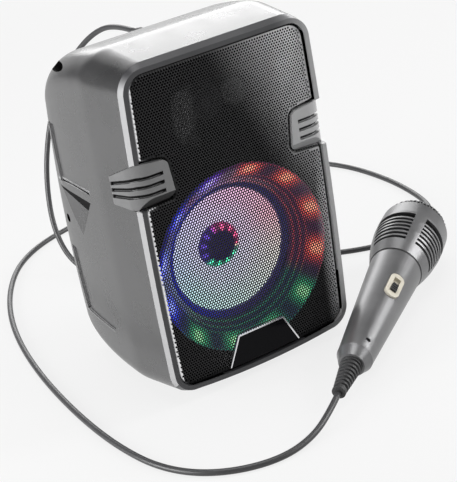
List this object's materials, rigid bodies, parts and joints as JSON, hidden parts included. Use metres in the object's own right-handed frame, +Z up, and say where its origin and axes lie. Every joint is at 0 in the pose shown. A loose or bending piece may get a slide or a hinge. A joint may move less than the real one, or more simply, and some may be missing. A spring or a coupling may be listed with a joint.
{
  "type": "karaoke speaker",
  "caption": "Portable karaoke speaker with a perforated front grille, lit woofer ring, side grips, rear controls and a wired hand microphone lying beside it.",
  "frame": {"origin": "on the surface that the speaker stands on, under the middle of its cabinet", "axes": "+Z up, -Y towards the front grille, +X to the right seen from the front"},
  "size_m": [0.4043, 0.4719, 0.252],
  "materials": {
    "cabinet_plastic": "fine satin texture",
    "bezel_plastic": "fine satin texture",
    "grip_plastic": "satin",
    "grille_steel": "satin black paint",
    "badge_black": "polished, bare",
    "bright_trim": "bright",
    "foot_rubber": "matt",
    "screw_steel": "blackened",
    "smoked_plastic": "translucent smoked",
    "lamp_lens": "clear lens",
    "board_green": "solder mask",
    "basket_steel": "black paint",
    "cone_film": "satin",
    "cap_gloss": "gloss",
    "surround_rubber": "matt",
    "spider_cloth": "treated cloth",
    "coil_copper": "enamelled wire",
    "plate_steel": "zinc plated",
    "magnet_ferrite": "ground ferrite",
    "horn_plastic": "satin",
    "tweeter_dome": "film",
    "panel_plastic": "satin",
    "jack_metal": "nickel",
    "port_plastic": "matt",
    "button_rubber": "soft satin",
    "knob_plastic": "satin with fine grooves",
    "cell_wrap": "shrink wrap",
    "mic_plastic": "satin",
    "mic_mesh": "woven mesh",
    "mic_liner_foam": "open foam",
    "mic_plate": "satin light grey",
    "mic_slider": "satin",
    "cord_rubber": "satin",
    "relief_rubber": "matt"
  },
  "bodies": {
    "speaker": {"cabinet": "cabinet_plastic", "front_bezel": "bezel_plastic", "grille": "grille_steel", "side_grip_left": "grip_plastic", "side_grip_right": "grip_plastic", "badge_plate": "badge_black", "badge_trim": "bright_trim", "feet": "foot_rubber", "cabinet_screws": "screw_steel", "woofer_screws": "screw_steel", "light_ring": "smoked_plastic", "led_board": "board_green", "main_board": "board_green", "lamps": "lamp_lens", "woofer_basket": "basket_steel", "surround": "surround_rubber", "spider": "spider_cloth", "woofer_top_plate": "plate_steel", "woofer_back_plate": "plate_steel", "woofer_magnet": "magnet_ferrite", "horn_flare": "horn_plastic", "tweeter": "tweeter_dome", "port_tube": "horn_plastic", "control_panel": "panel_plastic", "mic_jack": "jack_metal", "aux_jack": "port_plastic", "usb_port": "jack_metal", "card_slot": "port_plastic", "charge_port": "port_plastic", "potentiometers": "port_plastic", "power_switch_body": "port_plastic", "tact_switches": "port_plastic", "battery_cell": "cell_wrap", "battery_holder": "port_plastic", "mic_cord": "cord_rubber", "plug_pin": "jack_metal", "plug_grip": "relief_rubber", "plug_boot": "relief_rubber"},
    "woofer_motion": {"woofer_cone": "cone_film", "dust_cap": "cap_gloss", "voice_coil": "coil_copper"},
    "microphone": {"mic_handle": "mic_plastic", "mic_head_shell": "mic_plastic", "mic_seam_ring": "relief_rubber", "mic_dome": "mic_mesh", "mic_liner": "mic_liner_foam", "mic_capsule": "port_plastic", "mic_switch_plate": "mic_plate", "mic_tail_collar": "mic_plastic", "mic_strain_relief": "relief_rubber", "mic_screw": "screw_steel"},
    "mic_switch": {"mic_switch_slider": "mic_slider"},
    "power_switch": {"power_slider": "button_rubber"},
    "volume": {"volume_knob": "knob_plastic"},
    "mic_volume": {"mic_volume_knob": "knob_plastic"},
    "light_button_cap": {"light_button": "button_rubber"},
    "previous_button_cap": {"previous_button": "button_rubber"},
    "play_button_cap": {"play_button": "button_rubber"},
    "next_button_cap": {"next_button": "button_rubber"},
    "mode_button_cap": {"mode_button": "button_rubber"}
  },
  "joints": [
    {"name": "light_button_press", "type": "slide", "parent": "speaker", "child": "light_button_cap", "axis": [0, -1, 0], "range_m": [0, 0.0008], "stiffness_N_per_m": 400},
    {"name": "previous_button_press", "type": "slide", "parent": "speaker", "child": "previous_button_cap", "axis": [0, -1, 0], "range_m": [0, 0.0008], "stiffness_N_per_m": 400},
    {"name": "play_button_press", "type": "slide", "parent": "speaker", "child": "play_button_cap", "axis": [0, -1, 0], "range_m": [0, 0.0008], "stiffness_N_per_m": 400},
    {"name": "next_button_press", "type": "slide", "parent": "speaker", "child": "next_button_cap", "axis": [0, -1, 0], "range_m": [0, 0.0008], "stiffness_N_per_m": 400},
    {"name": "mode_button_press", "type": "slide", "parent": "speaker", "child": "mode_button_cap", "axis": [0, -1, 0], "range_m": [0, 0.0008], "stiffness_N_per_m": 400},
    {"name": "volume_turn", "type": "hinge", "parent": "speaker", "child": "volume", "pos_m": [0.036, 0.062, 0.182], "axis": [0, 1, 0], "range_deg": [-135, 135]},
    {"name": "mic_volume_turn", "type": "hinge", "parent": "speaker", "child": "mic_volume", "pos_m": [0.01, 0.062, 0.182], "axis": [0, 1, 0], "range_deg": [-135, 135]},
    {"name": "power_slide", "type": "slide", "parent": "speaker", "child": "power_switch", "axis": [1, 0, 0], "range_m": [0, 0.004]},
    {"name": "cone_travel", "type": "slide", "parent": "speaker", "child": "woofer_motion", "axis": [0, -1, 0], "range_m": [-0.003, 0.003], "stiffness_N_per_m": 1200, "deforming": ["surround", "spider"]},
    {"name": "mic_lift", "type": "slide", "parent": "speaker", "child": "microphone", "axis": [0, 0, 1], "range_m": [0, 0.1]},
    {"name": "mic_switch_slide", "type": "slide", "parent": "microphone", "child": "mic_switch", "axis": [0.7952, 0.5992, 0.0927], "range_m": [0, 0.008]}
  ]
}
